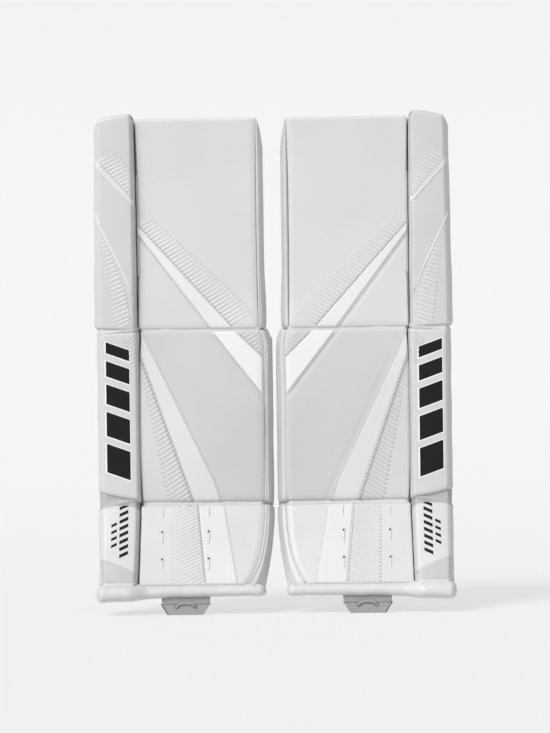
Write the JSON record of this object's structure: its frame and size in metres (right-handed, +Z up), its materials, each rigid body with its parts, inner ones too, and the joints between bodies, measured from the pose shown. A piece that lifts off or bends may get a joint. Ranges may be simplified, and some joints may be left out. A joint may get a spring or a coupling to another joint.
{
  "type": "goalie leg pads",
  "caption": "Pair of ice-hockey goalie leg pads, each with hinged thigh, shin and boot sections, a proud outer roll, wings, straps and a toe tie.",
  "frame": {"origin": "on the floor plane under the toe bridges, midway between the two pads and halfway through their depth", "axes": "+Z up along the leg, -Y the way the pads face, +X towards the left leg's pad"},
  "size_m": [0.5856, 0.2715, 0.8024],
  "materials": {
    "face_leather": "satin grained synthetic leather",
    "white_leather": "satin grained synthetic leather",
    "padded_white": "satin synthetic leather sewn over foam",
    "padded_grey": "satin synthetic leather sewn over foam",
    "foam": "closed-cell foam",
    "stiffener": "flexible sheet",
    "back_nylon": "woven nylon over foam",
    "liner_mesh": "soft knitted liner",
    "wing_fabric": "woven nylon over foam",
    "skid_plastic": "slippery facing",
    "lace": "braided cord",
    "eyelet_metal": "painted eyelets",
    "bridge_plastic": "stiff moulded sheet",
    "elastic_cord": "braided elastic cord",
    "elastic_webbing": "ribbed elastic webbing",
    "buckle_plastic": "moulded nylon"
  },
  "bodies": {
    "right_thigh": {"right_thigh_cover": "face_leather", "right_thigh_core": "foam", "right_thigh_board": "stiffener", "right_thigh_back": "back_nylon", "right_thigh_roll": "padded_grey"},
    "right_shin": {"right_shin_cover": "face_leather", "right_shin_core": "foam", "right_shin_board": "stiffener", "right_shin_back": "back_nylon", "right_shin_roll": "padded_grey", "right_shin_liner": "liner_mesh", "right_knee_block": "padded_white", "right_knee_skid": "skid_plastic", "right_calf_block": "padded_white"},
    "right_boot": {"right_boot_cover": "white_leather", "right_boot_core": "foam", "right_boot_back": "back_nylon", "right_boot_roll": "padded_white", "right_toe_roll": "padded_white", "right_boot_liner": "liner_mesh", "right_boot_lace": "lace", "right_boot_eyelets": "eyelet_metal"},
    "right_toe": {"right_toe_bridge": "bridge_plastic", "right_toe_tie": "elastic_cord"},
    "right_knee_flap": {"right_knee_wing": "wing_fabric"},
    "right_knee_belt": {"right_knee_strap": "elastic_webbing"},
    "right_calf_flap": {"right_calf_wing": "wing_fabric"},
    "right_calf_belt": {"right_calf_strap": "elastic_webbing"},
    "right_boot_belt": {"right_boot_strap": "elastic_webbing", "right_boot_buckle": "buckle_plastic"},
    "left_thigh": {"left_thigh_cover": "face_leather", "left_thigh_core": "foam", "left_thigh_board": "stiffener", "left_thigh_back": "back_nylon", "left_thigh_roll": "padded_grey"},
    "left_shin": {"left_shin_cover": "face_leather", "left_shin_core": "foam", "left_shin_board": "stiffener", "left_shin_back": "back_nylon", "left_shin_roll": "padded_grey", "left_shin_liner": "liner_mesh", "left_knee_block": "padded_white", "left_knee_skid": "skid_plastic", "left_calf_block": "padded_white"},
    "left_boot": {"left_boot_cover": "white_leather", "left_boot_core": "foam", "left_boot_back": "back_nylon", "left_boot_roll": "padded_white", "left_toe_roll": "padded_white", "left_boot_liner": "liner_mesh", "left_boot_lace": "lace", "left_boot_eyelets": "eyelet_metal"},
    "left_toe": {"left_toe_bridge": "bridge_plastic", "left_toe_tie": "elastic_cord"},
    "left_knee_flap": {"left_knee_wing": "wing_fabric"},
    "left_knee_belt": {"left_knee_strap": "elastic_webbing"},
    "left_calf_flap": {"left_calf_wing": "wing_fabric"},
    "left_calf_belt": {"left_calf_strap": "elastic_webbing"},
    "left_boot_belt": {"left_boot_strap": "elastic_webbing", "left_boot_buckle": "buckle_plastic"}
  },
  "joints": [
    {"name": "right_knee_flex", "type": "hinge", "parent": "right_shin", "child": "right_thigh", "pos_m": [-0.143, -0.009, 0.455], "axis": [1, 0, 0], "range_deg": [-8, 3], "stiffness_Nm_per_rad": 30},
    {"name": "right_boot_flex", "type": "hinge", "parent": "right_shin", "child": "right_boot", "pos_m": [-0.143, -0.009, 0.166], "axis": [1, 0, 0], "range_deg": [-3, 10], "stiffness_Nm_per_rad": 30},
    {"name": "right_toe_swing", "type": "hinge", "parent": "right_boot", "child": "right_toe", "pos_m": [-0.144, -0.104, 0.0175], "axis": [1, 0, 0], "range_deg": [-12, 12], "stiffness_Nm_per_rad": 0.05},
    {"name": "right_knee_wing_open", "type": "hinge", "parent": "right_shin", "child": "right_knee_flap", "pos_m": [-0.265, -0.001, 0.395], "axis": [0, 0, 1], "range_deg": [0, 50]},
    {"name": "right_knee_strap_open", "type": "hinge", "parent": "right_knee_flap", "child": "right_knee_belt", "pos_m": [-0.2622, 0.0893, 0.397], "axis": [0, 0, 1], "range_deg": [0, 80]},
    {"name": "right_calf_wing_open", "type": "hinge", "parent": "right_shin", "child": "right_calf_flap", "pos_m": [-0.265, -0.001, 0.26], "axis": [0, 0, 1], "range_deg": [0, 50]},
    {"name": "right_calf_strap_open", "type": "hinge", "parent": "right_calf_flap", "child": "right_calf_belt", "pos_m": [-0.2316, 0.1292, 0.26], "axis": [0, 0, 1], "range_deg": [0, 80]},
    {"name": "right_boot_strap_open", "type": "hinge", "parent": "right_boot", "child": "right_boot_belt", "pos_m": [-0.259, -0.03061, 0.09384], "axis": [0, 0.3746, 0.9272], "range_deg": [0, 70]},
    {"name": "left_knee_flex", "type": "hinge", "parent": "left_shin", "child": "left_thigh", "pos_m": [0.143, -0.009, 0.455], "axis": [1, 0, 0], "range_deg": [-8, 3], "stiffness_Nm_per_rad": 30},
    {"name": "left_boot_flex", "type": "hinge", "parent": "left_shin", "child": "left_boot", "pos_m": [0.143, -0.009, 0.166], "axis": [1, 0, 0], "range_deg": [-3, 10], "stiffness_Nm_per_rad": 30},
    {"name": "left_toe_swing", "type": "hinge", "parent": "left_boot", "child": "left_toe", "pos_m": [0.144, -0.104, 0.0175], "axis": [1, 0, 0], "range_deg": [-12, 12], "stiffness_Nm_per_rad": 0.05},
    {"name": "left_knee_wing_open", "type": "hinge", "parent": "left_shin", "child": "left_knee_flap", "pos_m": [0.265, -0.001, 0.395], "axis": [0, 0, -1], "range_deg": [0, 50]},
    {"name": "left_knee_strap_open", "type": "hinge", "parent": "left_knee_flap", "child": "left_knee_belt", "pos_m": [0.2622, 0.0893, 0.397], "axis": [0, 0, -1], "range_deg": [0, 80]},
    {"name": "left_calf_wing_open", "type": "hinge", "parent": "left_shin", "child": "left_calf_flap", "pos_m": [0.265, -0.001, 0.26], "axis": [0, 0, -1], "range_deg": [0, 50]},
    {"name": "left_calf_strap_open", "type": "hinge", "parent": "left_calf_flap", "child": "left_calf_belt", "pos_m": [0.2316, 0.1292, 0.26], "axis": [0, 0, -1], "range_deg": [0, 80]},
    {"name": "left_boot_strap_open", "type": "hinge", "parent": "left_boot", "child": "left_boot_belt", "pos_m": [0.259, -0.03061, 0.09384], "axis": [0, -0.3746, -0.9272], "range_deg": [0, 70]},
    {"name": "pair_spacing", "type": "slide", "parent": "right_shin", "child": "left_shin", "axis": [1, 0, 0], "range_m": [0, 0.2]}
  ]
}
